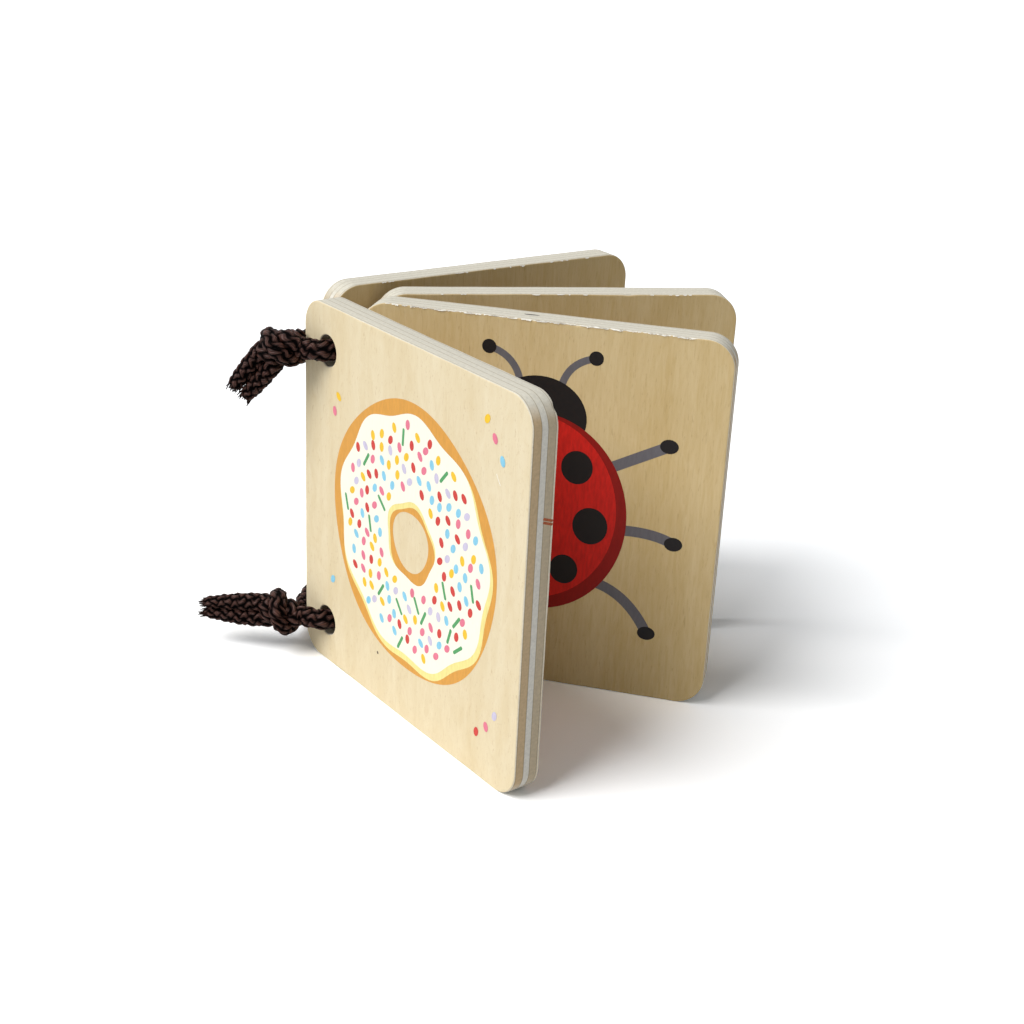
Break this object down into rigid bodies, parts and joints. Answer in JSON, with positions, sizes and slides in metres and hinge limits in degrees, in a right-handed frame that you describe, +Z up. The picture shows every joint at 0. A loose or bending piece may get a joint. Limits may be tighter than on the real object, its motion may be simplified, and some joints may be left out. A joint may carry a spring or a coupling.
{
  "type": "wooden board book",
  "caption": "Small toddler's book of rounded plywood boards, bound at the spine by two knotted cords and standing fanned open on its lower edges.",
  "frame": {"origin": "on the surface that the book stands on, under the middle of the whole part's box", "axes": "+X from the spine out between the two covers, +Y from the front cover's side to the back cover's side, +Z up"},
  "size_m": [0.1114, 0.117, 0.08],
  "materials": {
    "ply_front_cover": "sanded bare plywood with a printed picture on its outer face",
    "ply_second_board": "sanded bare plywood with a printed picture on its front face",
    "ply_third_board": "sanded bare plywood",
    "ply_back_cover": "sanded bare plywood",
    "braided_cord": "braided dark brown cord"
  },
  "bodies": {
    "front_cover": {"front_cover": "ply_front_cover", "upper_cord": "braided_cord", "lower_cord": "braided_cord"},
    "second_board": {"second_board": "ply_second_board"},
    "third_board": {"third_board": "ply_third_board"},
    "back_cover": {"back_cover": "ply_back_cover"}
  },
  "joints": [
    {"name": "front_cover_hinge", "type": "hinge", "parent": "front_cover", "child": "second_board", "pos_m": [-0.01854, 0.007, 0.04], "axis": [0, 0, 1], "range_deg": [-39, 7], "deforming": ["upper_cord", "lower_cord"]},
    {"name": "middle_hinge", "type": "hinge", "parent": "second_board", "child": "third_board", "pos_m": [-0.0196, 0.00499, 0.04], "axis": [0, 0, 1], "range_deg": [-23, 5], "deforming": ["upper_cord", "lower_cord"]},
    {"name": "back_cover_hinge", "type": "hinge", "parent": "third_board", "child": "back_cover", "pos_m": [-0.01477, -0.01419, 0.04], "axis": [0, 0, 1], "range_deg": [-25, 3], "deforming": ["upper_cord", "lower_cord"]}
  ]
}
